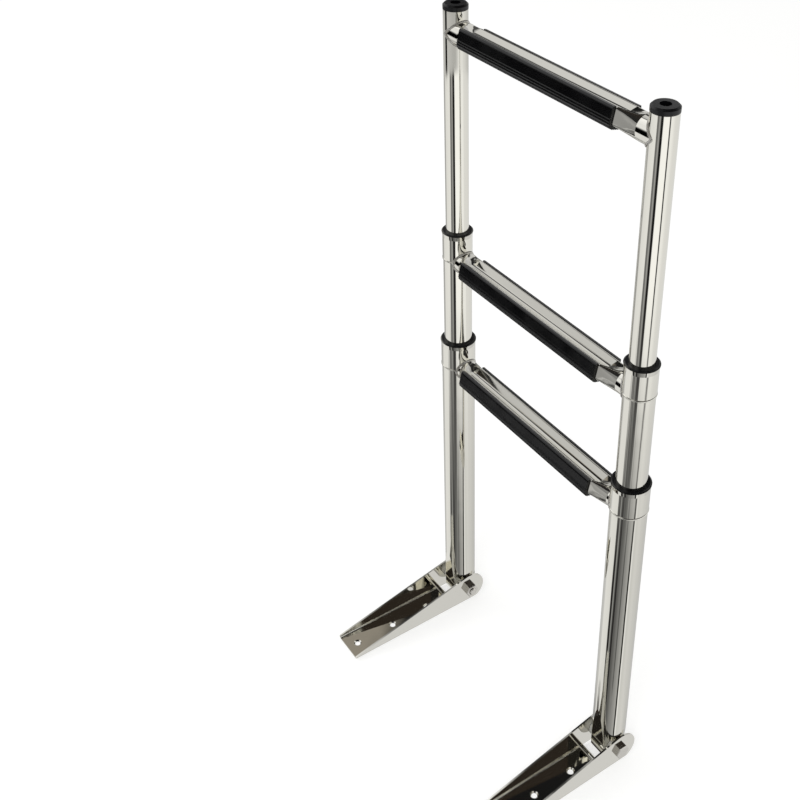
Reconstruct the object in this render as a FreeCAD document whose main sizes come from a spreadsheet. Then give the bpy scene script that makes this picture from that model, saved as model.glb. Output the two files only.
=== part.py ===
# Telescopic boarding ladder with three steps for a boat's swim platform, in millimetres.
#
# The ladder stands upright on its two hinge brackets, partly drawn out. X runs across the
# ladder, the brackets run from their pivots towards -Y, and Z is up. The origin lies on the
# underside of the left bracket's floor, on its centre line, midway between its first two holes.

import FreeCAD, Part
import math
import os
import Sketcher

# Driving dimensions: name, millimetres (or degrees where said), and what it is.
SIZES = [
    ("leg_spacing", 298.0, "between the centre lines of the two legs"),
    ("outer_tube_od", 38.0, "outer tube"),
    ("foot_clearance", 2.5, "between the outer tube's round foot and the deck"),
    ("outer_tube_wall", 1.5, "outer tube"),
    ("outer_tube_top", 387.0, "outer tube's mouth above the pivot"),
    ("middle_nest_gap", 1.6, "between the outer tube's bore and the middle tube"),
    ("middle_tube_wall", 1.5, "middle tube"),
    ("middle_tube_long", 350.0, "middle tube from end to end"),
    ("middle_drawn", 143.0, "middle tube's mouth above the outer tube's, as it stands"),
    ("inner_nest_gap", 1.7, "between the middle tube's bore and the inner tube"),
    ("inner_tube_wall", 1.2, "inner tube"),
    ("inner_tube_long", 350.0, "inner tube from end to end"),
    ("inner_drawn", 250.0, "inner tube's end above the middle tube's mouth, as it stands"),
    ("collar_long", 33.0, "swaged collar below a tube's mouth"),
    ("collar_swell", 0.7, "collar's extra radius"),
    ("collar_slope", 1.5, "height of the slope under a collar"),
    ("mouth_flare", 0.8, "mouth's extra radius over its collar"),
    ("mouth_long", 5.0, "height of the flare"),
    ("slide_clearance", 0.1, "radial clearance of a tube in its guide ring"),
    ("bush_clearance", 0.1, "radial clearance of a slide bush in its tube"),
    ("seat_gap", 0.05, "between pieces pressed or welded together"),
    ("ring_flange_high", 1.6, "guide ring above the mouth"),
    ("ring_chamfer", 0.6, "slope round the guide ring's flange"),
    ("ring_skirt_long", 18.0, "guide ring inside the tube"),
    ("ring_inset", 1.0, "guide ring's flange inside the mouth's edge"),
    ("bush_long", 24.0, "slide bush round a tube's foot"),
    ("foot_wide", 22.0, "pressed foot of the outer tube, across"),
    ("foot_core_top", 66.0, "top of the closed foot above the pivot"),
    ("flank_top", 29.0, "top of the foot's pressed flank above the pivot"),
    ("flank_wide", 31.2, "width of the foot's pressed flank"),
    ("crease_top", 60.0, "where the foot's crease starts above the pivot"),
    ("crease_deep", 4.5, "depth of the crease's flat at the foot's end"),
    ("bolt_diameter", 10.0, "pivot bolt"),
    ("bolt_clearance", 0.1, "radial clearance of the bolt in its holes"),
    ("bolt_head_across", 16.0, "bolt head and nut across the flats"),
    ("bolt_head_high", 5.0, "bolt head"),
    ("bolt_tail", 2.0, "bolt past its nut"),
    ("nut_high", 7.0, "locking nut"),
    ("hex_chamfer", 0.8, "slope round the outer face of the bolt head and nut"),
    ("spacer_od", 24.0, "plastic spacer beside the foot"),
    ("spacer_gap", 0.3, "between a spacer and the foot or wall"),
    ("bracket_sheet", 2.0, "bracket's sheet"),
    ("bracket_side_gap", 0.5, "between the outer tube and a bracket wall"),
    ("bracket_back", 172.0, "bracket's far end behind the pivot"),
    ("bracket_bend", 4.0, "outer radius of the bracket's bends"),
    ("bracket_end_high", 5.0, "bracket's wall at its far end"),
    ("floor_end", 20.5, "floor's near end behind the pivot"),
    ("floor_lip_long", 6.0, "rolled lip along the floor's near end"),
    ("floor_lip_top", 5.0, "top of the rolled lip"),
    ("screw_hole", 6.6, "screw hole"),
    ("screw_sink", 1.4, "depth of a screw hole's countersink"),
    ("screw_spacing", 52.0, "between screw holes"),
    ("screw_first", 54.0, "first screw hole behind the pivot"),
    ("step_tube_od", 25.4, "step tube at its ends"),
    ("step_below_mouth", 34.0, "centre of the lower and middle steps below their mouths"),
    ("step_below_end", 23.0, "centre of the top step below the inner tube's end"),
    ("step_tilt", 13.0, "lean of the pressed step about its tube, in degrees"),
    ("step_aside", 8.8, "middle of the pressed step behind its tube's centre line"),
    ("corner_radius", 3.0, "lower corners of the pressed step"),
    ("corner_apart", 21.0, "between the centres of the two corners"),
    ("corner_rise", -1.35, "corners' centres above the step tube's"),
    ("rim_radius", 2.5, "rims of the pressed step"),
    ("rim_apart", 22.0, "between the centres of the two rims"),
    ("rim_rise", 10.25, "rims' centres above the step tube's"),
    ("valley_radius", 7.5, "valley of the pressed step's trough"),
    ("valley_rise", 15.9, "centre of the valley's radius above the step tube's"),
    ("step_cone", 17.0, "length of the taper at each end of the pressed stretch"),
    ("cover_long", 222.0, "tread cover"),
    ("cover_margin", 1.0, "pressed stretch past each end of its cover"),
    ("cover_gap", 0.3, "room between the cover and the step in it"),
    ("cover_thick", 2.7, "tread cover"),
    ("cover_lip_apart", 26.0, "between the lips that hold the cover on the step's rims"),
    ("cover_lip_top", 13.0, "flat of the lips above the step tube's centre"),
    ("cap_overhang", 0.2, "end cap's flange past its tube"),
    ("cap_flange_high", 6.0, "end cap's flange"),
    ("cap_chamfer", 1.8, "slope round the end cap's flange"),
    ("cap_recess_radius", 5.2, "end cap's recess"),
    ("cap_recess_deep", 10.0, "end cap's recess"),
    ("cap_plug_long", 16.0, "end cap inside the tube"),
]

doc = FreeCAD.newDocument("boarding_ladder")
sheet = doc.addObject("Spreadsheet::Sheet", "Sizes")
for row, (alias, amount, note) in enumerate(SIZES, start=1):
    sheet.set("A%d" % row, alias)
    sheet.set("B%d" % row, str(amount))
    sheet.set("C%d" % row, note)
    sheet.setAlias("B%d" % row, alias)
doc.recompute()


class Length:
    """A size worked out from the sheet: its number, and the expression that gives it."""

    def __init__(self, number, text):
        self.number = number
        self.text = text

    @staticmethod
    def of(other):
        if isinstance(other, Length):
            return other
        return Length(float(other), repr(float(other)))

    def joined(self, other, sign, number):
        return Length(number, "(%s %s %s)" % (self.text, sign, Length.of(other).text))

    def __add__(self, other):
        return self.joined(other, "+", self.number + Length.of(other).number)

    def __sub__(self, other):
        return self.joined(other, "-", self.number - Length.of(other).number)

    def __mul__(self, other):
        return self.joined(other, "*", self.number * Length.of(other).number)

    def __truediv__(self, other):
        return self.joined(other, "/", self.number / Length.of(other).number)

    def __neg__(self):
        return Length(0.0, "0") - self


def size(alias):
    """One of the sheet's sizes."""
    return Length(float(sheet.get(alias)), "Sizes." + alias)


ZERO = Length(0.0, "0")
# how far the outline of a cut runs past what it cuts
OVERCUT = 2.0
# lengths closer than this are the same
NEAR = 0.01
# a cut that takes less volume than this has missed
LEAST_CUT = 0.1

# Sizes that several pieces share
pivot_height = size("outer_tube_od") / 2 + size("foot_clearance")
outer_bore = size("outer_tube_od") - size("outer_tube_wall") * 2
middle_od = outer_bore - size("middle_nest_gap") * 2
middle_bore = middle_od - size("middle_tube_wall") * 2
inner_od = middle_bore - size("inner_nest_gap") * 2
wall_half = size("outer_tube_od") / 2 + size("bracket_side_gap")
bracket_half = wall_half + size("bracket_sheet")
bracket_high = pivot_height * 2
bolt_hole = size("bolt_diameter") / 2 + size("bolt_clearance")
pivot_ahead = size("screw_first") + size("screw_spacing") / 2
middle_mouth = size("outer_tube_top") + size("middle_drawn")
inner_end = middle_mouth + size("inner_drawn")

pieces = []


def new_body(label):
    body = doc.addObject("PartDesign::Body", label)
    body.Label = label
    pieces.append(body)
    return body


def place(piece, across, along, high, turn=0.0):
    """Puts a piece's own origin at a point of the ladder, turned about Z."""
    piece.Placement = FreeCAD.Placement(
        FreeCAD.Vector(across.number, along.number, high.number),
        FreeCAD.Rotation(FreeCAD.Vector(0, 0, 1), turn))
    for axis, length in zip("xyz", (across, along, high)):
        piece.setExpression("Placement.Base." + axis, length.text)


def plane_of(body, role):
    return next(f for f in body.Origin.OriginFeatures if f.Role == role)


def new_sketch(body, name, role, lift=None):
    """A sketch on one of the body's own planes, lifted off it along its normal."""
    sketch = body.newObject("Sketcher::SketchObject", name)
    sketch.AttachmentSupport = [(plane_of(body, role), "")]
    sketch.MapMode = "FlatFace"
    if lift is not None:
        sketch.AttachmentOffset = FreeCAD.Placement(
            FreeCAD.Vector(0, 0, lift.number), FreeCAD.Rotation())
        sketch.setExpression("AttachmentOffset.Base.z", lift.text)
    return sketch


def pin(sketch, geometry, vertex, across, up):
    """Holds one point of a sketch at a place given by the sheet."""
    for kind, length in (("DistanceX", across), ("DistanceY", up)):
        index = sketch.addConstraint(
            Sketcher.Constraint(kind, -1, 1, geometry, vertex, length.number))
        sketch.setExpression("Constraints[%d]" % index, length.text)


def draw_outline(sketch, corners):
    """A closed outline of straight lines through corners that the sheet gives."""
    points = [FreeCAD.Vector(a.number, b.number, 0) for a, b in corners]
    first = sketch.GeometryCount
    count = len(points)
    for k in range(count):
        sketch.addGeometry(Part.LineSegment(points[k], points[(k + 1) % count]), False)
    for k in range(count):
        after = first + (k + 1) % count
        sketch.addConstraint(Sketcher.Constraint("Coincident", first + k, 2, after, 1))
    for k, (across, up) in enumerate(corners):
        pin(sketch, first + k, 1, across, up)


def draw_circle(sketch, across, up, radius):
    centre = FreeCAD.Vector(across.number, up.number, 0)
    circle = sketch.addGeometry(
        Part.Circle(centre, FreeCAD.Vector(0, 0, 1), radius.number), False)
    pin(sketch, circle, 3, across, up)
    index = sketch.addConstraint(Sketcher.Constraint("Radius", circle, radius.number))
    sketch.setExpression("Constraints[%d]" % index, radius.text)


def draw_hexagon(sketch, across_flats):
    corner = across_flats / math.sqrt(3)
    turns = [math.radians(60 * k) for k in range(6)]
    draw_outline(sketch, [(corner * math.cos(a), corner * math.sin(a)) for a in turns])


def revolve(body, name, corners):
    """Turns an outline of (radius, height) corners about the body's Z axis."""
    sketch = new_sketch(body, name + "_outline", "XZ_Plane")
    draw_outline(sketch, corners)
    feature = body.newObject("PartDesign::Revolution", name)
    feature.Profile = sketch
    feature.ReferenceAxis = (sketch, ["V_Axis"])
    feature.Angle = 360.0
    doc.recompute()
    return feature


def pad(body, sketch, name, length, both_ways=False, reversed_way=False):
    feature = body.newObject("PartDesign::Pad", name)
    feature.Profile = sketch
    feature.SideType = "Symmetric" if both_ways else "One side"
    feature.Reversed = reversed_way
    feature.Length = length.number
    feature.setExpression("Length", length.text)
    doc.recompute()
    return feature


def cut(body, sketch, name, length=None, both_ways=False, reversed_way=False):
    """A pocket that has to take something away, or the source stops here."""
    before = body.Shape.Volume
    feature = body.newObject("PartDesign::Pocket", name)
    feature.Profile = sketch
    feature.SideType = "Symmetric" if both_ways else "One side"
    feature.Reversed = reversed_way
    if length is None:
        feature.Type = "ThroughAll"
    else:
        feature.Length = length.number
        feature.setExpression("Length", length.text)
    doc.recompute()
    if body.Shape.Volume > before - LEAST_CUT:
        raise ValueError(name + " cuts nothing")
    return feature


def round_edges(body, base, name, radius, wanted, kind="PartDesign::Fillet"):
    """Fillets or chamfers the edges of a feature that the test picks."""
    names = ["Edge%d" % (k + 1) for k, edge in enumerate(base.Shape.Edges) if wanted(edge)]
    if not names:
        raise ValueError(name + " finds no edge")
    feature = body.newObject(kind, name)
    feature.Base = (base, names)
    prop = "Radius" if kind.endswith("Fillet") else "Size"
    setattr(feature, prop, radius.number)
    feature.setExpression(prop, radius.text)
    doc.recompute()
    return feature


def edge_lies(edge, **places):
    """Whether each end of an edge has the coordinates given."""
    return all(abs(getattr(v.Point, axis) - place) < NEAR
               for v in edge.Vertexes for axis, place in places.items())


def is_circle(edge, radius):
    return isinstance(edge.Curve, Part.Circle) and abs(edge.Curve.Radius - radius.number) < NEAR


# Hinge bracket: a bent channel whose walls taper down from a round end at the pivot
def make_bracket(label):
    body = new_body(label)
    section = new_sketch(body, "channel_section", "XZ_Plane", size("bracket_back"))
    sheet_thick = size("bracket_sheet")
    draw_outline(section, [
        (-bracket_half, ZERO), (bracket_half, ZERO), (bracket_half, bracket_high),
        (wall_half, bracket_high), (wall_half, sheet_thick), (-wall_half, sheet_thick),
        (-wall_half, bracket_high), (-bracket_half, bracket_high)])
    channel = pad(body, section, "channel", size("bracket_back") + pivot_height,
                  reversed_way=True)

    half = bracket_half.number
    bends = round_edges(body, channel, "bends", size("bracket_bend"),
                        lambda e: edge_lies(e, z=0.0) and abs(abs(e.CenterOfMass.x) - half) < NEAR)
    inner = wall_half.number
    thick = sheet_thick.number
    bends = round_edges(body, bends, "bend_insides", size("bracket_bend") - sheet_thick,
                        lambda e: edge_lies(e, z=thick)
                        and abs(abs(e.CenterOfMass.x) - inner) < NEAR)

    side = new_sketch(body, "side_outline", "YZ_Plane")
    draw_side_waste(side)
    cut(body, side, "taper_and_round_end", both_ways=True)

    opening = new_sketch(body, "floor_opening", "XY_Plane")
    front = pivot_height + OVERCUT
    draw_outline(opening, [(-wall_half, -size("floor_end")), (wall_half, -size("floor_end")),
                           (wall_half, front), (-wall_half, front)])
    cut(body, opening, "floor_gap", size("bracket_bend"), reversed_way=True)

    lip = new_sketch(body, "lip_section", "YZ_Plane")
    lip_near = -size("floor_end")
    lip_far = lip_near - size("floor_lip_long")
    draw_outline(lip, [(lip_far, ZERO), (lip_near, ZERO), (lip_near, size("floor_lip_top")),
                       (lip_far, size("floor_lip_top"))])
    bar = pad(body, lip, "floor_lip", wall_half * 2, both_ways=True)
    top = size("floor_lip_top").number
    round_edges(body, bar, "lip_rounding", size("floor_lip_top") / 2,
                lambda e: edge_lies(e, z=top) and e.Length > inner and e.CenterOfMass.y < 0)

    pivots = new_sketch(body, "pivot_holes", "YZ_Plane")
    draw_circle(pivots, ZERO, pivot_height, bolt_hole)
    cut(body, pivots, "pivot_bore", both_ways=True)

    screws = new_sketch(body, "screw_holes", "XY_Plane")
    for k in range(3):
        draw_circle(screws, ZERO, -(size("screw_first") + size("screw_spacing") * k),
                    size("screw_hole") / 2)
    holes = cut(body, screws, "screw_bores", reversed_way=True)
    round_edges(body, holes, "countersinks", size("screw_sink"),
                lambda e: is_circle(e, size("screw_hole") / 2) and e.CenterOfMass.z > thick - NEAR,
                kind="PartDesign::Chamfer")
    return body


def draw_side_waste(sketch):
    """The sheet cut off a bracket's walls: above their taper and round their end."""
    back = -size("bracket_back")
    radius = pivot_height
    front = radius + OVERCUT
    above = bracket_high + OVERCUT
    slope = math.atan2(bracket_high.number - size("bracket_end_high").number,
                       size("bracket_back").number)
    touch = FreeCAD.Vector(-radius.number * math.sin(slope),
                           radius.number * (1 + math.cos(slope)), 0)
    taper_end = FreeCAD.Vector(back.number, size("bracket_end_high").number, 0)
    corners = [(back, size("bracket_end_high")), (back, above), (front, above),
               (front, -size("bracket_bend")), (ZERO, -size("bracket_bend")), (ZERO, ZERO)]
    points = [FreeCAD.Vector(a.number, b.number, 0) for a, b in corners]
    for start, end in zip(points, points[1:]):
        sketch.addGeometry(Part.LineSegment(start, end), False)
    last = len(points) - 2
    circle = Part.Circle(FreeCAD.Vector(0, radius.number, 0), FreeCAD.Vector(0, 0, 1),
                         radius.number)
    arc = sketch.addGeometry(
        Part.ArcOfCircle(circle, -math.pi / 2, math.pi / 2 + slope), False)
    line = sketch.addGeometry(Part.LineSegment(touch, taper_end), False)
    for k in range(last):
        sketch.addConstraint(Sketcher.Constraint("Coincident", k, 2, k + 1, 1))
    sketch.addConstraint(Sketcher.Constraint("Coincident", last, 2, arc, 1))
    sketch.addConstraint(Sketcher.Constraint("Tangent", arc, 2, line, 1))
    sketch.addConstraint(Sketcher.Constraint("Coincident", line, 2, 0, 1))
    for k, (across, up) in enumerate(corners[:-1]):
        pin(sketch, k, 1, across, up)
    pin(sketch, arc, 3, ZERO, radius)
    index = sketch.addConstraint(Sketcher.Constraint("Radius", arc, radius.number))
    sketch.setExpression("Constraints[%d]" % index, radius.text)
    sketch.addConstraint(Sketcher.Constraint("PointOnObject", arc, 1, -2))


# Pivot hardware: a hex bolt through both walls, its locking nut, and a spacer on each side
def make_bolt(label):
    body = new_body(label)
    head = new_sketch(body, "head_outline", "YZ_Plane", bracket_half)
    draw_hexagon(head, size("bolt_head_across"))
    top = pad(body, head, "head", size("bolt_head_high"))
    face = (bracket_half + size("bolt_head_high")).number
    round_edges(body, top, "head_chamfer", size("hex_chamfer"),
                lambda e: edge_lies(e, x=face), kind="PartDesign::Chamfer")
    shank = new_sketch(body, "shank_outline", "YZ_Plane", bracket_half)
    draw_circle(shank, ZERO, ZERO, size("bolt_diameter") / 2)
    long = bracket_half * 2 + size("nut_high") + size("bolt_tail")
    stem = pad(body, shank, "shank", long, reversed_way=True)
    tip = (bracket_half - long).number
    round_edges(body, stem, "tip_chamfer", size("bolt_tail") / 2,
                lambda e: edge_lies(e, x=tip), kind="PartDesign::Chamfer")
    return body


def make_nut(label):
    body = new_body(label)
    outline = new_sketch(body, "nut_outline", "YZ_Plane", bracket_half)
    draw_hexagon(outline, size("bolt_head_across"))
    block = pad(body, outline, "nut", size("nut_high"))
    face = (bracket_half + size("nut_high")).number
    round_edges(body, block, "nut_chamfer", size("hex_chamfer"),
                lambda e: edge_lies(e, x=face), kind="PartDesign::Chamfer")
    bore = new_sketch(body, "thread_bore", "YZ_Plane", bracket_half)
    draw_circle(bore, ZERO, ZERO, bolt_hole)
    cut(body, bore, "thread", reversed_way=True)
    return body


def make_spacer(label):
    body = new_body(label)
    near = size("foot_wide") / 2 + size("spacer_gap")
    ring = new_sketch(body, "spacer_section", "YZ_Plane", near)
    draw_circle(ring, ZERO, ZERO, size("spacer_od") / 2)
    draw_circle(ring, ZERO, ZERO, bolt_hole)
    pad(body, ring, "spacer", wall_half - near - size("spacer_gap"))
    return body


# Tubes
def collar_outline(radius, mouth):
    """Corners up a tube's outside from below its collar to the edge of its mouth."""
    collar = radius + size("collar_swell")
    foot = mouth - size("collar_long")
    return [(radius, foot), (collar, foot + size("collar_slope")),
            (collar, mouth - size("mouth_long")), (collar + size("mouth_flare"), mouth)]


def make_outer_tube(label):
    body = new_body(label)
    radius = size("outer_tube_od") / 2
    bore = radius - size("outer_tube_wall")
    mouth = size("outer_tube_top")
    revolve(body, "tube", [
        (ZERO, -radius), (radius, -radius), *collar_outline(radius, mouth),
        (bore, mouth), (bore, size("foot_core_top")), (ZERO, size("foot_core_top"))])

    end = new_sketch(body, "foot_end", "YZ_Plane")
    draw_end_waste(end, radius)
    cut(body, end, "rounded_foot", both_ways=True)

    for side, reversed_way in ((1, True), (-1, False)):
        flank = new_sketch(body, "flank%d" % (side + 1), "YZ_Plane", size("foot_wide") / 2 * side)
        draw_flank(flank)
        cut(body, flank, "pressed_flank%d" % (side + 1), reversed_way=reversed_way)
        crease = new_sketch(body, "crease%d" % (side + 1), "YZ_Plane")
        low = -radius - OVERCUT
        edge = radius * side
        out = (radius + OVERCUT) * side
        draw_outline(crease, [(edge, size("crease_top")), (edge - size("crease_deep") * side, low),
                              (out, low), (out, size("crease_top"))])
        cut(body, crease, "crease_flat%d" % (side + 1), both_ways=True)

    bolt = new_sketch(body, "bolt_hole", "YZ_Plane")
    draw_circle(bolt, ZERO, ZERO, bolt_hole)
    cut(body, bolt, "bolt_bore", both_ways=True)
    return body


def draw_end_waste(sketch, radius):
    """What is cut off below the foot's round end."""
    low = -radius - OVERCUT
    out = radius + OVERCUT
    corners = [(-radius, ZERO), (-out, ZERO), (-out, low), (out, low), (out, ZERO),
               (radius, ZERO)]
    chain_with_arc(sketch, corners, ZERO, radius, math.pi, 2 * math.pi)


def draw_flank(sketch):
    """The flat pressed into the foot's side; the tube's round face hangs down into its top."""
    half = size("flank_wide") / 2
    low = -size("outer_tube_od")
    middle = size("flank_top")
    corners = [(-half, middle), (-half, low), (half, low), (half, middle)]
    chain_with_arc(sketch, corners, middle, half, math.pi, 2 * math.pi)


def chain_with_arc(sketch, corners, centre_up, radius, start, end):
    """Lines through the corners, closed by a half circle about a point of the upright axis."""
    points = [FreeCAD.Vector(a.number, b.number, 0) for a, b in corners]
    for a, b in zip(points, points[1:]):
        sketch.addGeometry(Part.LineSegment(a, b), False)
    last = len(points) - 2
    circle = Part.Circle(FreeCAD.Vector(0, centre_up.number, 0), FreeCAD.Vector(0, 0, 1),
                         radius.number)
    arc = sketch.addGeometry(Part.ArcOfCircle(circle, start, end), False)
    left_end, right_end = (1, 2) if start > 0 else (2, 1)
    for k in range(last):
        sketch.addConstraint(Sketcher.Constraint("Coincident", k, 2, k + 1, 1))
    sketch.addConstraint(Sketcher.Constraint("Coincident", 0, 1, arc, left_end))
    sketch.addConstraint(Sketcher.Constraint("Coincident", last, 2, arc, right_end))
    for k, (across, up) in enumerate(corners[:-1]):
        pin(sketch, k, 1, across, up)
    pin(sketch, last, 2, *corners[-1])
    index = sketch.addConstraint(
        Sketcher.Constraint("DistanceY", -1, 1, arc, 3, centre_up.number))
    sketch.setExpression("Constraints[%d]" % index, centre_up.text)


def make_middle_tube(label):
    """Its own origin lies on its axis, at its mouth."""
    body = new_body(label)
    radius = middle_od / 2
    bore = middle_bore / 2
    low = -size("middle_tube_long")
    revolve(body, "tube", [(bore, low), (radius, low), *collar_outline(radius, ZERO),
                           (bore, ZERO)])
    return body


def make_inner_tube(label):
    """Its own origin lies on its axis, at its upper end."""
    body = new_body(label)
    radius = inner_od / 2
    bore = radius - size("inner_tube_wall")
    low = -size("inner_tube_long")
    revolve(body, "tube", [(bore, low), (radius, low), (radius, ZERO), (bore, ZERO)])
    return body


def make_guide_ring(label, outer_od, tube_bore, sliding_od):
    """A plastic ring in a tube's mouth, which the next tube slides through."""
    body = new_body(label)
    bore = sliding_od / 2 + size("slide_clearance")
    skirt = tube_bore / 2 - size("seat_gap")
    flange = outer_od / 2 + size("collar_swell") + size("mouth_flare") - size("ring_inset")
    seat = size("seat_gap")
    top = size("ring_flange_high")
    slope = size("ring_chamfer")
    revolve(body, "ring", [
        (bore, -size("ring_skirt_long")), (skirt, -size("ring_skirt_long")), (skirt, seat),
        (flange, seat), (flange, top - slope), (flange - slope, top), (bore, top)])
    return body


def make_slide_bush(label, foot_od, tube_bore):
    """A plastic bush round the foot of a tube, which keeps it true in the next one."""
    body = new_body(label)
    bore = foot_od / 2 + size("seat_gap")
    face = tube_bore / 2 - size("bush_clearance")
    revolve(body, "bush", [(bore, ZERO), (face, ZERO), (face, size("bush_long")),
                           (bore, size("bush_long"))])
    return body


def make_end_cap(label):
    body = new_body(label)
    plug = inner_od / 2 - size("inner_tube_wall") - size("seat_gap")
    flange = inner_od / 2 + size("cap_overhang")
    seat = size("seat_gap")
    top = size("cap_flange_high")
    slope = size("cap_chamfer")
    recess = size("cap_recess_radius")
    floor = top - size("cap_recess_deep")
    revolve(body, "cap", [
        (ZERO, -size("cap_plug_long")), (plug, -size("cap_plug_long")), (plug, seat),
        (flange, seat), (flange, top - slope), (flange - slope, top), (recess, top),
        (recess, floor), (ZERO, floor)])
    return body


# Steps: a round tube pressed into a trough between its ends
def number(alias):
    return size(alias).number


def polar(centre, radius, angle):
    return (centre[0] + radius * math.cos(angle), centre[1] + radius * math.sin(angle))


def mirror(point):
    return (-point[0], point[1])


def trough_section(skin):
    """
    The pressed step's outline about its own middle, standing off the bare step by a skin, as
    ten edges, each (start, middle or None, end): the underside, the right side's corner,
    flank, rim and trough side, the valley, and the left side's four back down.
    """
    corner = number("corner_radius") + skin
    foot = (number("corner_apart") / 2, number("corner_rise"))
    rim = number("rim_radius") + skin
    top = (number("rim_apart") / 2, number("rim_rise"))
    valley = number("valley_radius") - skin
    above = (0.0, number("valley_rise"))

    # the flank is a line that touches the corner's circle and the rim's from outside
    reach = math.hypot(top[0] - foot[0], top[1] - foot[1])
    lean = math.atan2(top[1] - foot[1], top[0] - foot[0])
    flank_turn = lean - math.acos((corner - rim) / reach)
    # the trough's side crosses over from the rim's circle to the valley's
    drop = math.hypot(top[0] - above[0], top[1] - above[1])
    dip = math.atan2(top[1] - above[1], top[0] - above[0])
    side_turn = dip - math.acos((rim + valley) / drop)

    low = (foot[0], foot[1] - corner)
    corner_middle = polar(foot, corner, (flank_turn - math.pi / 2) / 2)
    corner_end = polar(foot, corner, flank_turn)
    rim_start = polar(top, rim, flank_turn)
    rim_middle = polar(top, rim, (flank_turn + side_turn + math.pi) / 2)
    rim_end = polar(top, rim, side_turn + math.pi)
    valley_start = polar(above, valley, side_turn)

    right = [
        (low, corner_middle, corner_end),
        (corner_end, None, rim_start),
        (rim_start, rim_middle, rim_end),
        (rim_end, None, valley_start),
    ]
    left = [(mirror(end), middle and mirror(middle), mirror(start))
            for start, middle, end in reversed(right)]
    bottom = (0.0, above[1] - valley)
    return [(mirror(low), None, low), *right, (valley_start, bottom, mirror(valley_start)), *left]


def edge_of(points):
    """A straight edge, or an arc where a middle point is given, in the plane across the step."""
    vectors = [FreeCAD.Vector(0, p[0], p[1]) for p in points if p is not None]
    if len(vectors) == 2:
        return Part.LineSegment(*vectors).toShape()
    return Part.Arc(*vectors).toShape()


def tilt(shape):
    """The whole section leans, so that the trough is level when the ladder hangs outward."""
    shape.rotate(FreeCAD.Vector(), FreeCAD.Vector(1, 0, 0), -number("step_tilt"))
    return shape


def section_wire(edges, along, aside=0.0):
    wire = Part.Wire([edge_of(points) for points in edges])
    wire.translate(FreeCAD.Vector(along, -aside, 0))
    return tilt(wire)


# Where the ends of the trough section's edges come to lie round the step tube's round end
ROUND_TURNS = (-120, -60, -25, 20, 62, 76, 104, 118, 160, 205, 240)


def round_section():
    radius = number("step_tube_od") / 2
    turns = [math.radians(a) for a in ROUND_TURNS]
    return [[polar((0, 0), radius, turn) for turn in (a, (a + b) / 2, b)]
            for a, b in zip(turns, turns[1:])]


def make_step_bar(label, leg_radius, collar_radius):
    """A step tube between the two legs, its own origin at its middle."""
    pressed = number("cover_long") / 2 + number("cover_margin")
    cone = pressed + number("step_cone")
    reach = number("leg_spacing") / 2
    aside = number("step_aside")
    trough = trough_section(0.0)
    middle = Part.Face(section_wire(trough, -pressed, aside))
    solids = [middle.extrude(FreeCAD.Vector(2 * pressed, 0, 0))]
    for side in (1, -1):
        ends = [section_wire(trough, side * pressed, aside),
                section_wire(round_section(), side * cone)]
        stub = Part.makeCylinder(number("step_tube_od") / 2, reach - cone,
                                 FreeCAD.Vector(side * cone, 0, 0), FreeCAD.Vector(side, 0, 0))
        solids += [Part.makeLoft(ends, True, True), stub]
    bar = solids[0].multiFuse(solids[1:])
    for side in (1, -1):
        foot = FreeCAD.Vector(side * reach, 0, -reach)
        leg = Part.makeCylinder(leg_radius.number, 2 * reach, foot)
        collar = Part.makeCylinder(collar_radius.number, reach, FreeCAD.Vector(side * reach, 0, 0))
        bar = bar.cut(leg.fuse(collar))
    return new_feature(label, bar.removeSplitter())


def new_feature(label, shape):
    solids = shape.Solids
    if len(solids) != 1:
        raise ValueError("%s is %d solids" % (label, len(solids)))
    piece = doc.addObject("Part::Feature", label)
    piece.Label = label
    piece.Shape = solids[0]
    pieces.append(piece)
    return piece


def make_tread_cover(label):
    """A plastic cover snapped round the pressed step, its own origin at the step's middle."""
    half = number("cover_long") / 2
    aside = number("step_aside")
    along = FreeCAD.Vector(2 * half, 0, 0)
    outside = trough_section(number("cover_gap") + number("cover_thick"))
    inside = trough_section(number("cover_gap"))
    # straight across from rim to rim in place of the trough
    closed = [*outside[:4], (outside[3][2], None, outside[7][0]), *outside[7:]]
    cover = Part.Face(section_wire(closed, -half, aside)).extrude(along)
    cover = cover.cut(Part.Face(section_wire(inside, -half, aside)).extrude(along))
    valley_floor = number("valley_rise") - number("valley_radius")
    for wide, low in ((number("cover_lip_apart"), valley_floor),
                      (2 * number("step_tube_od"), number("cover_lip_top"))):
        corner = FreeCAD.Vector(-half, -aside - wide / 2, low)
        cover = cover.cut(tilt(Part.makeBox(2 * half, wide, number("step_tube_od"), corner)))
    return new_feature(label, cover)


# The ladder's pieces, at their places
left = ZERO
right = size("leg_spacing")
middle = size("leg_spacing") / 2
deck = ZERO
outer_up = pivot_height + size("outer_tube_top")
middle_up = pivot_height + middle_mouth
inner_up = pivot_height + inner_end

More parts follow.
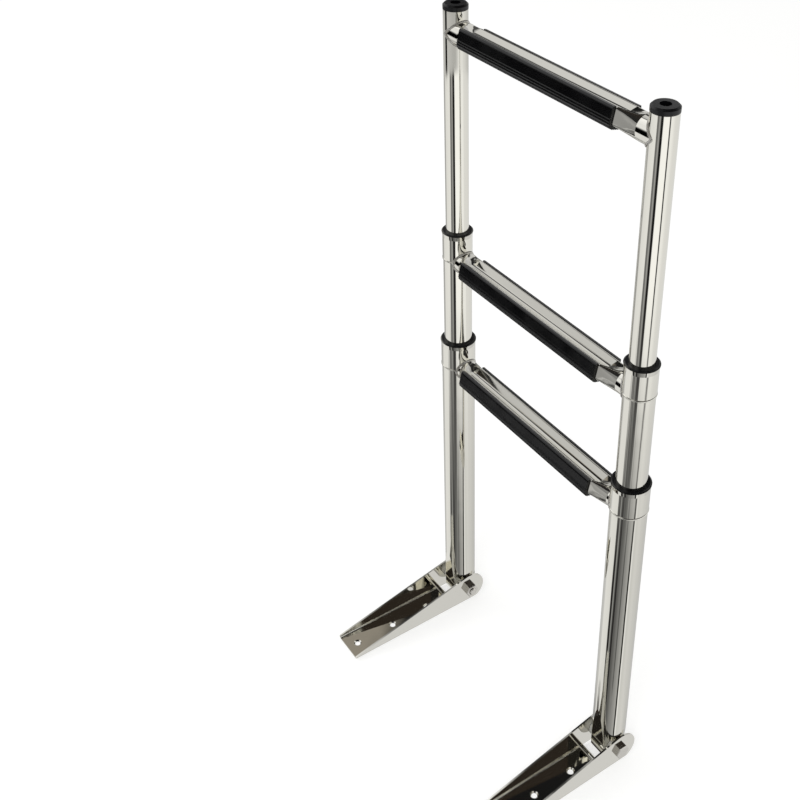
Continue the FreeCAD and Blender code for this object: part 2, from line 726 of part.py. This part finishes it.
for side_name, leg, turn in (("left", left, 180.0), ("right", right, 0.0)):
    place(make_bracket("bracket_" + side_name), leg, pivot_ahead, deck)
    place(make_bolt("pivot_bolt_" + side_name), leg, pivot_ahead, pivot_height, turn)
    place(make_nut("pivot_nut_" + side_name), leg, pivot_ahead, pivot_height, turn + 180.0)
    place(make_spacer("foot_spacer_%s_a" % side_name), leg, pivot_ahead, pivot_height)
    place(make_spacer("foot_spacer_%s_b" % side_name), leg, pivot_ahead, pivot_height, 180.0)
    place(make_outer_tube("outer_tube_" + side_name), leg, pivot_ahead, pivot_height)
    place(make_guide_ring("outer_guide_ring_" + side_name, size("outer_tube_od"), outer_bore,
                          middle_od), leg, pivot_ahead, outer_up)
    place(make_middle_tube("middle_tube_" + side_name), leg, pivot_ahead, middle_up)
    place(make_guide_ring("middle_guide_ring_" + side_name, middle_od, middle_bore, inner_od),
          leg, pivot_ahead, middle_up)
    place(make_slide_bush("middle_slide_bush_" + side_name, middle_od, outer_bore),
          leg, pivot_ahead, middle_up - size("middle_tube_long"))
    place(make_inner_tube("inner_tube_" + side_name), leg, pivot_ahead, inner_up)
    place(make_slide_bush("inner_slide_bush_" + side_name, inner_od, middle_bore),
          leg, pivot_ahead, inner_up - size("inner_tube_long"))
    place(make_end_cap("end_cap_" + side_name), leg, pivot_ahead, inner_up)

outer_fit = size("outer_tube_od") / 2 + size("seat_gap")
middle_fit = middle_od / 2 + size("seat_gap")
inner_fit = inner_od / 2 + size("seat_gap")
swell = size("collar_swell")
for name, up, leg_fit, collar_fit in (
        ("lower", outer_up - size("step_below_mouth"), outer_fit, outer_fit + swell),
        ("middle", middle_up - size("step_below_mouth"), middle_fit, middle_fit + swell),
        ("top", inner_up - size("step_below_end"), inner_fit, inner_fit)):
    place(make_step_bar(name + "_step", leg_fit, collar_fit), middle, pivot_ahead, up)
    place(make_tread_cover(name + "_tread_cover"), middle, pivot_ahead, up)

doc.recompute()

for thing in doc.Objects:
    if "Invalid" in thing.State or "Error" in thing.State:
        raise ValueError("failed: " + thing.Name)
os.makedirs("parts", exist_ok=True)
for piece in pieces:
    shape = piece.Shape
    if shape.isNull() or not shape.isValid() or len(shape.Solids) != 1:
        raise ValueError("bad shape: " + piece.Label)
    shape.exportStep("parts/%s.step" % piece.Label)
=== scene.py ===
import math

import bpy
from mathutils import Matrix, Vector


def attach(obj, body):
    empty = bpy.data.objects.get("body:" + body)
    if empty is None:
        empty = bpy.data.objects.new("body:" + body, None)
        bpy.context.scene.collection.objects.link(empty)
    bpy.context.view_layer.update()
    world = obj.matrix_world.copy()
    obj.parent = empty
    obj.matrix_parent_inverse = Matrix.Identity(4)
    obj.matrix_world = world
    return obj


# The looks of a telescopic boarding ladder in polished stainless tube, with pressed steps in
# snap-on ribbed tread covers. Metres, in the row frame: x across the ladder, the deck brackets
# run to -y, z up.

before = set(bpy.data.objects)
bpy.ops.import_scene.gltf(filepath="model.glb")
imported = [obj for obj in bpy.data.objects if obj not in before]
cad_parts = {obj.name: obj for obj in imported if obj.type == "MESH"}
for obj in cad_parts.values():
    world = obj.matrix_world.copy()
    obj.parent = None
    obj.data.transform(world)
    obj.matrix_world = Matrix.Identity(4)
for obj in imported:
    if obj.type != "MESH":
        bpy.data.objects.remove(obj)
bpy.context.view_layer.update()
MM = 0.001

# Sizes of the real pieces, in millimetres
LEG_PITCH = 298.0
LEG_Y = 80.0
PIVOT_Z = 21.5
SECTIONS = (
    # body, step's name, step centre's height, tube radius, collar radius at the step
    ("outer_section", "lower", 374.5, 19.0, 19.7),
    ("middle_section", "middle", 517.5, 15.9, 16.6),
    ("inner_section", "top", 778.5, 12.7, 12.7),
)
COLLAR_FOOT_ABOVE_STEP = 0.8
STEP_TUBE_RADIUS = 12.7
STEP_LEAN = math.radians(13.0)
# the pressed stretch of a step lies this far behind the axis of its tube
STEP_ASIDE = 8.8
COVER_LONG = 222.0
# the cover's outside, in the step's own leaning frame
COVER_HALF = 16.5
COVER_CORNER = 6.0
COVER_CORNER_RISE = -1.35
# the ribs start this far above the middle of the cover's side
RIBS_TOP = 1.5
RIB_RADIUS = 0.55
RIB_PITCH = 2.2
RIPPLE_RADIUS = 1.5
RIPPLE_PITCH = 1.1
RIPPLE_FLATNESS = 0.62
BEAD_RADIUS = 1.1
# how finely the seams, the beads and the covers' corners are followed
SEAM_POINTS = 96
BEAD_POINTS = 72
CORNER_POINTS = 12

# The studio, in metres and degrees
MIDDLE = (0.149, 0.08, 0.4)
FLOOR_WIDTH = 60.0
# the floor lies a hair below the brackets
FLOOR_DROP = 0.0004
CAMERA_PLACE = (0.9265, -0.5513, 1.1930)
CAMERA_TURN = 54.81
CAMERA_LIFT = 31.65
# turns the round-about angle so that its half way mark lies behind the camera
TENT_TURN = 35.2


# Colours and nodes

def linear(code):
    """An sRGB hex colour as the linear values that a shader takes."""
    parts = [int(code[k:k + 2], 16) / 255 for k in (1, 3, 5)]
    return [p / 12.92 if p <= 0.04045 else ((p + 0.055) / 1.055) ** 2.4 for p in parts] + [1.0]


def add_node(tree, kind, sockets=None, **settings):
    """Adds a node with its settings, and fills its inputs with values or with links."""
    node = tree.nodes.new(kind)
    for name, value in settings.items():
        setattr(node, name, value)
    for key, value in (sockets or {}).items():
        if isinstance(value, bpy.types.NodeSocket):
            tree.links.new(value, node.inputs[key])
        else:
            node.inputs[key].default_value = value
    return node


def set_ramp(node, stops, interpolation="EASE"):
    """Gives a colour ramp its stops, each a place and a grey or a colour."""
    ramp = node.color_ramp
    ramp.interpolation = interpolation
    while len(ramp.elements) > 1:
        ramp.elements.remove(ramp.elements[-1])
    for k, (place, shade) in enumerate(stops):
        stop = ramp.elements[0] if k == 0 else ramp.elements.new(place)
        stop.position = place
        stop.color = shade if isinstance(shade, list) else [shade, shade, shade, 1.0]


def new_material(name):
    """A material with an empty node tree."""
    material = bpy.data.materials.new(name)
    material.use_nodes = True
    material.node_tree.nodes.clear()
    return material


# Materials

def polished_stainless(name, along, colour="#EAE8DF", roughness=0.035):
    """
    Stainless steel 316, drawn or rolled and then buffed to a mirror: near-white metal, with
    faint lines left along the way it was buffed and a slow waviness that bends reflections.
    """
    material = new_material(name)
    tree = material.node_tree
    place = add_node(tree, "ShaderNodeTexCoord")
    # buffing lines are some 0.05 mm apart; drawn 0.6 mm apart to show at all
    stretch = [1 / (0.6 * MM)] * 3
    stretch["xyz".index(along)] = 1 / (60 * MM)
    lines_at = add_node(tree, "ShaderNodeMapping",
                        {"Vector": place.outputs["Object"], "Scale": stretch})
    lines = add_node(tree, "ShaderNodeTexNoise",
                     {"Vector": lines_at.outputs[0], "Scale": 1.0, "Detail": 3.0,
                      "Roughness": 0.6})
    # handling leaves dull patches about 25 mm across
    patches = add_node(tree, "ShaderNodeTexNoise",
                       {"Vector": place.outputs["Object"], "Scale": 1 / (25 * MM),
                        "Detail": 4.0, "Roughness": 0.55})
    dulling = add_node(tree, "ShaderNodeMapRange",
                       {"Value": patches.outputs["Fac"], "From Min": 0.45, "From Max": 0.75,
                        "To Min": 0.0, "To Max": 0.03})
    line_dulling = add_node(tree, "ShaderNodeMath",
                            {0: lines.outputs["Fac"], 1: 0.03, 2: roughness - 0.015},
                            operation="MULTIPLY_ADD")
    rough = add_node(tree, "ShaderNodeMath",
                     {0: dulling.outputs[0], 1: line_dulling.outputs[0]}, operation="ADD")
    # the tube is wavy by a few hundredths of a millimetre over 40 mm
    waves = add_node(tree, "ShaderNodeTexNoise",
                     {"Vector": place.outputs["Object"], "Scale": 1 / (40 * MM),
                      "Detail": 1.0})
    wave_bump = add_node(tree, "ShaderNodeBump",
                         {"Height": waves.outputs["Fac"], "Distance": 0.35 * MM,
                          "Strength": 0.5})
    line_bump = add_node(tree, "ShaderNodeBump",
                         {"Height": lines.outputs["Fac"], "Distance": 0.01 * MM,
                          "Strength": 0.25, "Normal": wave_bump.outputs[0]})
    shader = add_node(tree, "ShaderNodeBsdfPrincipled",
                      {"Base Color": linear(colour), "Metallic": 1.0,
                       "Roughness": rough.outputs[0], "Normal": line_bump.outputs[0]})
    add_node(tree, "ShaderNodeOutputMaterial", {"Surface": shader.outputs[0]})
    return material


def turned_stainless(name, centre):
    """Bright turned stainless, as on bolts: fine rings about the bolt's own axis."""
    material = new_material(name)
    tree = material.node_tree
    place = add_node(tree, "ShaderNodeTexCoord")
    centred = add_node(tree, "ShaderNodeMapping",
                       {"Vector": place.outputs["Object"],
                        "Location": [0, -centre[0] * MM, -centre[1] * MM]})
    flat = add_node(tree, "ShaderNodeVectorMath",
                    {0: centred.outputs[0], 1: [0, 1, 1]}, operation="MULTIPLY")
    out = add_node(tree, "ShaderNodeVectorMath", {0: flat.outputs[0]}, operation="LENGTH")
    # tool marks 0.15 mm apart, drawn 0.5 mm apart
    turns = add_node(tree, "ShaderNodeMath",
                     {0: out.outputs["Value"], 1: 2 * math.pi / (0.5 * MM)},
                     operation="MULTIPLY")
    ridge = add_node(tree, "ShaderNodeMath", {0: turns.outputs[0]}, operation="SINE")
    bump = add_node(tree, "ShaderNodeBump",
                    {"Height": ridge.outputs[0], "Distance": 0.01 * MM, "Strength": 0.3})
    wear = add_node(tree, "ShaderNodeTexNoise",
                    {"Vector": place.outputs["Object"], "Scale": 1 / (3 * MM), "Detail": 3.0})
    rough = add_node(tree, "ShaderNodeMapRange",
                     {"Value": wear.outputs["Fac"], "To Min": 0.14, "To Max": 0.26})
    shader = add_node(tree, "ShaderNodeBsdfPrincipled",
                      {"Base Color": linear("#DAD7D0"), "Metallic": 1.0,
                       "Roughness": rough.outputs[0], "Normal": bump.outputs[0]})
    add_node(tree, "ShaderNodeOutputMaterial", {"Surface": shader.outputs[0]})
    return material


def weld_stainless():
    """A brushed-off stainless weld: duller than the tube, with a trace of straw colour."""
    material = new_material("brushed_stainless_weld")
    tree = material.node_tree
    place = add_node(tree, "ShaderNodeTexCoord")
    heat = add_node(tree, "ShaderNodeTexNoise",
                    {"Vector": place.outputs["Object"], "Scale": 1 / (6 * MM), "Detail": 2.0})
    tint = add_node(tree, "ShaderNodeValToRGB", {"Fac": heat.outputs["Fac"]})
    set_ramp(tint, [(0.35, linear("#DEDCD7")), (0.65, linear("#C6C2BA"))])
    grit = add_node(tree, "ShaderNodeTexNoise",
                    {"Vector": place.outputs["Object"], "Scale": 1 / (0.5 * MM),
                     "Detail": 2.0})
    bump = add_node(tree, "ShaderNodeBump",
                    {"Height": grit.outputs["Fac"], "Distance": 0.05 * MM, "Strength": 0.4})
    shader = add_node(tree, "ShaderNodeBsdfPrincipled",
                      {"Base Color": tint.outputs["Color"], "Metallic": 1.0,
                       "Roughness": 0.18, "Normal": bump.outputs[0]})
    add_node(tree, "ShaderNodeOutputMaterial", {"Surface": shader.outputs[0]})
    return material


def moulded_plastic(name, colour, roughness, grain_mm, grain_depth_mm):
    """Moulded plastic: one colour, a low gloss broken by the mould's fine grain."""
    material = new_material(name)
    tree = material.node_tree
    place = add_node(tree, "ShaderNodeTexCoord")
    grain = add_node(tree, "ShaderNodeTexNoise",
                     {"Vector": place.outputs["Object"], "Scale": 1 / (grain_mm * MM),
                      "Detail": 2.0})
    rubbed = add_node(tree, "ShaderNodeTexNoise",
                      {"Vector": place.outputs["Object"], "Scale": 1 / (30 * MM),
                       "Detail": 3.0})
    rough = add_node(tree, "ShaderNodeMapRange",
                     {"Value": rubbed.outputs["Fac"], "From Min": 0.3, "From Max": 0.7,
                      "To Min": roughness - 0.05, "To Max": roughness + 0.07})
    bump = add_node(tree, "ShaderNodeBump",
                    {"Height": grain.outputs["Fac"], "Distance": grain_depth_mm * MM,
                     "Strength": 0.5})
    shader = add_node(tree, "ShaderNodeBsdfPrincipled",
                      {"Base Color": linear(colour), "Roughness": rough.outputs[0],
                       "IOR": 1.45, "Normal": bump.outputs[0]})
    add_node(tree, "ShaderNodeOutputMaterial", {"Surface": shader.outputs[0]})
    return material


tube_steel = polished_stainless("polished_stainless_tube", "z")
bracket_steel = polished_stainless("polished_stainless_sheet", "y", "#E6E4DC", 0.035)
step_steel = polished_stainless("polished_stainless_pressing", "x", "#E6E4DC", 0.06)
bolt_steel = turned_stainless("turned_stainless_bolt", (LEG_Y, PIVOT_Z))
weld_steel = weld_stainless()
# soft PVC: a little gloss, fine matt grain
cover_plastic = moulded_plastic("moulded_black_pvc", "#060607", 0.24, 0.8, 0.015)
# nylon: smoother and a touch glossier than the covers
ring_plastic = moulded_plastic("moulded_black_nylon", "#08080A", 0.30, 1.5, 0.02)
# natural acetal: pale and waxy
spacer_plastic = moulded_plastic("turned_natural_acetal", "#D8D7D0", 0.35, 1.0, 0.01)

FINISHES = (
    # part of the node's name, its finish
    ("bracket", bracket_steel),
    ("pivot", bolt_steel),
    ("spacer", spacer_plastic),
    ("ring", ring_plastic),
    ("bush", ring_plastic),
    ("end_cap", ring_plastic),
    ("tread_cover", cover_plastic),
    ("step", step_steel),
    ("tube", tube_steel),
)
for name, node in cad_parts.items():
    finish = next(finish for part, finish in FINISHES if part in name)
    node.data.materials.clear()
    node.data.materials.append(finish)


# Trim: welds, rolled edges and ribs

def new_tree(name, inputs):
    """A tree that takes geometry and named sizes; returns it with each input's identifier."""
    tree = bpy.data.node_groups.new(name, "GeometryNodeTree")
    tree.interface.new_socket("Geometry", in_out="INPUT", socket_type="NodeSocketGeometry")
    names = {}
    for label, kind in inputs:
        names[label] = tree.interface.new_socket(
            label, in_out="INPUT", socket_type=kind).identifier
    tree.interface.new_socket("Geometry", in_out="OUTPUT", socket_type="NodeSocketGeometry")
    return tree, names


def weld_tree():
    """Ripples of a weld laid along a seam, each a flattened ball that overlaps the last."""
    tree, names = new_tree("weld_ripples", (("Ripple radius", "NodeSocketFloat"),
                                            ("Ripple pitch", "NodeSocketFloat"),
                                            ("Material", "NodeSocketMaterial")))
    given = add_node(tree, "NodeGroupInput")
    points = add_node(tree, "GeometryNodeCurveToPoints",
                      {"Curve": given.outputs["Geometry"],
                       "Length": given.outputs["Ripple pitch"]}, mode="LENGTH")
    ball = add_node(tree, "GeometryNodeMeshIcoSphere",
                    {"Radius": given.outputs["Ripple radius"], "Subdivisions": 2})
    placed = add_node(tree, "GeometryNodeInstanceOnPoints",
                      {"Points": points.outputs["Points"], "Instance": ball.outputs["Mesh"],
                       "Rotation": points.outputs["Rotation"],
                       "Scale": [1.0, 1.0, RIPPLE_FLATNESS]})
    whole = add_node(tree, "GeometryNodeRealizeInstances", {"Geometry": placed.outputs[0]})
    smooth = add_node(tree, "GeometryNodeSetShadeSmooth", {"Geometry": whole.outputs[0]})
    coated = add_node(tree, "GeometryNodeSetMaterial",
                      {"Geometry": smooth.outputs[0], "Material": given.outputs["Material"]})
    add_node(tree, "NodeGroupOutput", {"Geometry": coated.outputs[0]})
    return tree, names


def rib_tree():
    """Fine ribs along a tread cover, one at each step along its outline."""
    tree, names = new_tree("tread_ribs", (("Rib radius", "NodeSocketFloat"),
                                          ("Rib pitch", "NodeSocketFloat"),
                                          ("Rib length", "NodeSocketFloat"),
                                          ("Material", "NodeSocketMaterial")))
    given = add_node(tree, "NodeGroupInput")
    points = add_node(tree, "GeometryNodeCurveToPoints",
                      {"Curve": given.outputs["Geometry"],
                       "Length": given.outputs["Rib pitch"]}, mode="LENGTH")
    rib = add_node(tree, "GeometryNodeMeshCylinder",
                   {"Vertices": 8, "Radius": given.outputs["Rib radius"],
                    "Depth": given.outputs["Rib length"]})
    placed = add_node(tree, "GeometryNodeInstanceOnPoints",
                      {"Points": points.outputs["Points"], "Instance": rib.outputs["Mesh"],
                       "Rotation": [0.0, math.pi / 2, 0.0]})
    whole = add_node(tree, "GeometryNodeRealizeInstances", {"Geometry": placed.outputs[0]})
    coated = add_node(tree, "GeometryNodeSetMaterial",
                      {"Geometry": whole.outputs[0], "Material": given.outputs["Material"]})
    add_node(tree, "NodeGroupOutput", {"Geometry": coated.outputs[0]})
    return tree, names


def bead_tree():
    """A round bead swept along a path."""
    tree, names = new_tree("swept_bead", (("Bead radius", "NodeSocketFloat"),
                                          ("Material", "NodeSocketMaterial")))
    given = add_node(tree, "NodeGroupInput")
    section = add_node(tree, "GeometryNodeCurvePrimitiveCircle",
                       {"Resolution": 12, "Radius": given.outputs["Bead radius"]})
    swept = add_node(tree, "GeometryNodeCurveToMesh",
                     {"Curve": given.outputs["Geometry"], "Profile Curve": section.outputs[0]})
    smooth = add_node(tree, "GeometryNodeSetShadeSmooth", {"Geometry": swept.outputs[0]})
    coated = add_node(tree, "GeometryNodeSetMaterial",
                      {"Geometry": smooth.outputs[0], "Material": given.outputs["Material"]})
    add_node(tree, "NodeGroupOutput", {"Geometry": coated.outputs[0]})
    return tree, names


def grow(name, paths, tree_and_names, sizes, body):
    """Runs a tree along the paths and keeps the result as one plain mesh on the body."""
    tree, names = tree_and_names
    curve = bpy.data.curves.new(name + "_path", "CURVE")
    curve.dimensions = "3D"
    for points, closed in paths:
        spline = curve.splines.new("POLY")
        spline.points.add(len(points) - 1)
        for point, place in zip(spline.points, points):
            point.co = (*[c * MM for c in place], 1.0)
        spline.use_cyclic_u = closed
    carrier = bpy.data.objects.new(name + "_path", curve)
    bpy.context.collection.objects.link(carrier)
    modifier = carrier.modifiers.new("grow", "NODES")
    modifier.node_group = tree
    for label, value in sizes.items():
        modifier[names[label]] = value
    graph = bpy.context.evaluated_depsgraph_get()
    mesh = bpy.data.meshes.new_from_object(carrier.evaluated_get(graph))
    carrier.modifiers.clear()
    bpy.data.objects.remove(carrier)
    mesh.name = name
    piece = bpy.data.objects.new(name, mesh)
    bpy.context.collection.objects.link(piece)
    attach(piece, body)
    return piece


def weld_seam(leg_x, inward, centre_z, tube, collar):
    """Where the round step tube meets the leg, as a closed loop of points."""
    points = []
    for k in range(SEAM_POINTS):
        turn = 2 * math.pi * k / SEAM_POINTS
        y = STEP_TUBE_RADIUS * math.cos(turn)
        z = STEP_TUBE_RADIUS * math.sin(turn)
        around = collar if z > 0 else tube
        out = math.sqrt(max(around ** 2 - y ** 2, 0.0))
        points.append((leg_x + inward * out, LEG_Y + y, centre_z + z))
    return points


def ring_path(leg_x, centre_z, radius):
    """A level circle round a leg's axis, as a closed loop of points."""
    turns = [2 * math.pi * k / BEAD_POINTS for k in range(BEAD_POINTS)]
    return [(leg_x + radius * math.cos(a), LEG_Y + radius * math.sin(a), centre_z)
            for a in turns]


def cover_outline():
    """The ribbed part of a tread cover's outline: low on one side, round under it, and up."""
    inner = COVER_HALF - COVER_CORNER
    half = [(COVER_HALF, RIBS_TOP)]
    for k in range(CORNER_POINTS + 1):
        a = -math.pi / 2 * k / CORNER_POINTS
        half.append((inner + COVER_CORNER * math.cos(a),
                     COVER_CORNER_RISE + COVER_CORNER * math.sin(a)))
    outline = half + [(-y, z) for y, z in reversed(half)]
    lean_cos = math.cos(STEP_LEAN)
    lean_sin = math.sin(STEP_LEAN)
    return [((y - STEP_ASIDE) * lean_cos + z * lean_sin,
             z * lean_cos - (y - STEP_ASIDE) * lean_sin) for y, z in outline]


weld_ripples = weld_tree()
tread_ribs = rib_tree()
swept_bead = bead_tree()
for body, step_name, centre_z, tube, collar in SECTIONS:
    seams = [(weld_seam(leg_x, inward, centre_z, tube, collar), True)
             for leg_x, inward in ((0.0, 1), (LEG_PITCH, -1))]
    weld = grow(step_name + "_step_welds", seams, weld_ripples,
                {"Ripple radius": RIPPLE_RADIUS * MM, "Ripple pitch": RIPPLE_PITCH * MM,
                 "Material": weld_steel}, body)
    if collar > tube:
        # the collar's lower edge is rolled in to the tube
        foot = centre_z + COLLAR_FOOT_ABOVE_STEP
        edges = [(ring_path(leg_x, foot, tube), True) for leg_x in (0.0, LEG_PITCH)]
        bead = grow(step_name + "_collar_beads", edges, swept_bead,
                    {"Bead radius": BEAD_RADIUS * MM, "Material": tube_steel}, body)
    outline = [(LEG_PITCH / 2, LEG_Y + y, centre_z + z) for y, z in cover_outline()]
    ribs = grow(step_name + "_cover_ribs", [(outline, False)], tread_ribs,
                {"Rib radius": RIB_RADIUS * MM, "Rib pitch": RIB_PITCH * MM,
                 "Rib length": COVER_LONG * MM, "Material": cover_plastic}, body)


# Floor, light and camera

def studio_floor():
    """A pale floor that keeps the ladder's shadow; to the camera it is white paper."""
    bpy.ops.mesh.primitive_plane_add(size=FLOOR_WIDTH, location=(MIDDLE[0], 0, -FLOOR_DROP))
    floor = bpy.context.object
    floor.name = "studio_floor"
    material = new_material("pale_paper")
    tree = material.node_tree
    rays = add_node(tree, "ShaderNodeLightPath")
    paper = add_node(tree, "ShaderNodeBsdfDiffuse", {"Color": linear("#F7F7F5")})
    white = add_node(tree, "ShaderNodeEmission", {"Color": linear("#FFFFFF"), "Strength": 1.6})
    seen = add_node(tree, "ShaderNodeMath", {0: rays.outputs["Is Camera Ray"], 1: 0.35},
                    operation="MULTIPLY")
    mixed = add_node(tree, "ShaderNodeMixShader",
                     {0: seen.outputs[0], 1: paper.outputs[0], 2: white.outputs[0]})
    add_node(tree, "ShaderNodeOutputMaterial", {"Surface": mixed.outputs[0]})
    floor.data.materials.append(material)
    floor.visible_glossy = False


# What polished metal sees, in zones from straight down to straight up: the heights of a
# direction between which the zone fades in, then greys round the horizon. Half way along
# them is the camera's own direction; each 0.1 is 36 degrees.
BROWN = linear("#342E29")
WARM_GREY = linear("#999389")
TENT_ZONES = (
    # the ground close by
    (None, None, [(0.0, 0.3), (0.12, 0.4), (0.14, 0.9), (0.165, 0.9), (0.175, BROWN),
                  (0.23, BROWN), (0.24, 0.8), (0.29, 0.82), (0.30, 0.02), (0.33, 0.02),
                  (0.345, 0.35), (0.37, 0.05), (0.39, 0.01), (0.40, 0.12), (0.50, 0.3),
                  (0.565, 0.42), (0.575, 0.0), (0.59, 0.0), (0.60, 0.95), (0.63, 0.70),
                  (0.72, 0.74), (0.80, 0.6), (1.0, 0.4)]),
    # the ground further out
    (-0.79, -0.765, [(0.0, 0.5), (0.12, 0.6), (0.16, 0.85), (0.29, 0.82), (0.30, 0.02),
                     (0.33, 0.02), (0.345, 0.35), (0.37, 0.05), (0.39, 0.01), (0.40, 0.12),
                     (0.47, 0.22), (0.48, 0.08), (0.50, 0.3), (0.565, 0.42), (0.575, 0.0),
                     (0.59, 0.0), (0.60, 0.95), (0.63, 0.68), (0.68, 0.73), (0.74, 0.68),
                     (0.85, 0.6), (1.0, 0.4)]),
    # the low walls, with the narrow gaps that give the tubes their dark lines
    (-0.72, -0.52, [(0.0, 0.55), (0.14, 0.42), (0.17, 0.85), (0.325, 0.9), (0.335, 0.16),
                    (0.37, 0.2), (0.38, 0.45), (0.40, 0.28), (0.415, 0.01), (0.452, 0.01),
                    (0.465, 1.1), (0.58, 1.1), (0.592, 0.03), (0.61, 0.03), (0.62, 1.0),
                    (0.66, 0.98), (0.71, 0.84), (0.92, 0.78), (1.0, 0.4)]),
    # a black board in front keeps the tread covers dark, first narrow and then wide
    (-0.39, -0.375, [(0.0, 0.6), (0.19, 0.55), (0.205, 0.0), (0.255, 0.0), (0.27, 0.6),
                     (0.48, 0.5), (0.60, 0.9), (0.90, 0.6), (1.0, 0.4)]),
    (-0.34, -0.32, [(0.0, 0.4), (0.10, 0.3), (0.15, 0.0), (0.31, 0.0), (0.35, 0.3),
                     (0.48, 0.5), (0.60, 0.9), (0.90, 0.6), (1.0, 0.4)]),
    # the high walls
    (0.0, 0.2, [(0.0, 0.08), (0.02, 0.08), (0.03, 0.5), (0.1, 0.9), (0.3, 1.0),
                (0.45, 0.25), (0.55, 0.85), (0.75, 1.0), (0.88, 0.3), (0.95, 0.75),
                (0.975, 0.75), (0.982, 0.08), (1.0, 0.08)]),
    # the dark roof and its few bright panels
    (0.48, 0.53, [(0.0, 0.02), (0.002, 0.02), (0.008, 0.75), (0.08, 0.7), (0.10, 0.1),
                  (0.12, 1.2), (0.22, 1.0), (0.24, 0.05), (0.31, 0.03), (0.33, 0.6),
                  (0.38, 0.5), (0.40, 0.02), (0.80, 0.02), (0.82, 0.5), (0.84, 0.03),
                  (1.0, 0.02)]),
    (0.69, 0.73, [(0.0, 0.01), (0.014, 0.01), (0.018, WARM_GREY), (0.028, WARM_GREY),
                  (0.036, 0.66), (0.08, 0.6), (0.10, 0.05), (0.12, 1.2), (0.20, 1.0),
                  (0.22, 0.03), (0.31, 0.03), (0.33, 0.6), (0.38, 0.5), (0.40, 0.02),
                  (0.66, BROWN), (0.70, BROWN), (0.80, 0.02), (0.82, 0.4), (0.84, 0.03),
                  (1.0, 0.01)]),
)


def studio_world():
    """
    White to the camera. Polished metal sees a light tent: white walls with the grey and dark
    gaps between its panels, at a few directions round the ladder.
    """
    world = bpy.data.worlds.new("light_tent")
    world.use_nodes = True
    tree = world.node_tree
    tree.nodes.clear()
    rays = add_node(tree, "ShaderNodeLightPath")
    way = add_node(tree, "ShaderNodeTexCoord")
    turned = add_node(tree, "ShaderNodeMapping",
                      {"Vector": way.outputs["Generated"],
                       "Rotation": [0, 0, math.radians(TENT_TURN)]})
    round_about = add_node(tree, "ShaderNodeTexGradient", {"Vector": turned.outputs[0]},
                           gradient_type="RADIAL")
    height = add_node(tree, "ShaderNodeSeparateXYZ", {"Vector": way.outputs["Generated"]})
    tent = None
    for start, end, stops in TENT_ZONES:
        ramp = add_node(tree, "ShaderNodeValToRGB", {"Fac": round_about.outputs["Fac"]})
        set_ramp(ramp, stops)
        if tent is None:
            tent = ramp.outputs["Color"]
            continue
        fade = add_node(tree, "ShaderNodeMapRange",
                        {"Value": height.outputs["Z"], "From Min": start, "From Max": end},
                        interpolation_type="SMOOTHSTEP")
        mixed = add_node(tree, "ShaderNodeMix",
                         {0: fade.outputs[0], 6: tent, 7: ramp.outputs["Color"]},
                         data_type="RGBA")
        tent = mixed.outputs[2]
    soft = add_node(tree, "ShaderNodeBackground",
                    {"Color": linear("#FFFFFF"), "Strength": 0.62})
    shown = add_node(tree, "ShaderNodeBackground",
                     {"Color": linear("#FFFFFF"), "Strength": 1.0})
    mirrored = add_node(tree, "ShaderNodeBackground", {"Color": tent})
    plain = add_node(tree, "ShaderNodeMath",
                     {0: rays.outputs["Is Camera Ray"],
                      1: rays.outputs["Is Transmission Ray"]}, operation="MAXIMUM")
    glossy = add_node(tree, "ShaderNodeMixShader",
                      {0: rays.outputs["Is Glossy Ray"], 1: soft.outputs[0],
                       2: mirrored.outputs[0]})
    whole = add_node(tree, "ShaderNodeMixShader",
                     {0: plain.outputs[0], 1: glossy.outputs[0], 2: shown.outputs[0]})
    add_node(tree, "ShaderNodeOutputWorld", {"Surface": whole.outputs[0]})
    bpy.context.scene.world = world


def soft_lamp(name, place, size, watts):
    """A square softbox aimed at the middle of the ladder."""
    lamp = bpy.data.lights.new(name, "AREA")
    lamp.size = size
    lamp.energy = watts
    holder = bpy.data.objects.new(name, lamp)
    holder.location = place
    aim = Vector(MIDDLE) - Vector(place)
    holder.rotation_euler = aim.to_track_quat("-Z", "Y").to_euler()
    # the tent is all that polished metal sees
    holder.visible_glossy = False
    bpy.context.collection.objects.link(holder)


studio_floor()
studio_world()
soft_lamp("key_softbox", place=(2.0, -2.2, 3.0), size=2.0, watts=42)
soft_lamp("fill_softbox", place=(-2.4, -1.2, 2.2), size=2.0, watts=18)

# The camera stands as the photographer did: up and to the right, looking down at the steps
camera_data = bpy.data.cameras.new("photo_camera")
camera_data.sensor_width = 36.0
camera_data.lens = 53.36
camera_data.shift_x = -0.0924
camera_data.shift_y = -0.1641
camera_data.clip_end = 100.0
camera = bpy.data.objects.new("photo_camera", camera_data)
bpy.context.collection.objects.link(camera)
turn = math.radians(CAMERA_TURN)
lift = math.radians(CAMERA_LIFT)
back = Vector((math.sin(turn) * math.cos(lift), -math.cos(turn) * math.cos(lift),
               math.sin(lift)))
camera.location = CAMERA_PLACE
camera.rotation_euler = (-back).to_track_quat("-Z", "Y").to_euler()
bpy.context.scene.camera = camera
bpy.context.scene.view_settings.view_transform = "Standard"
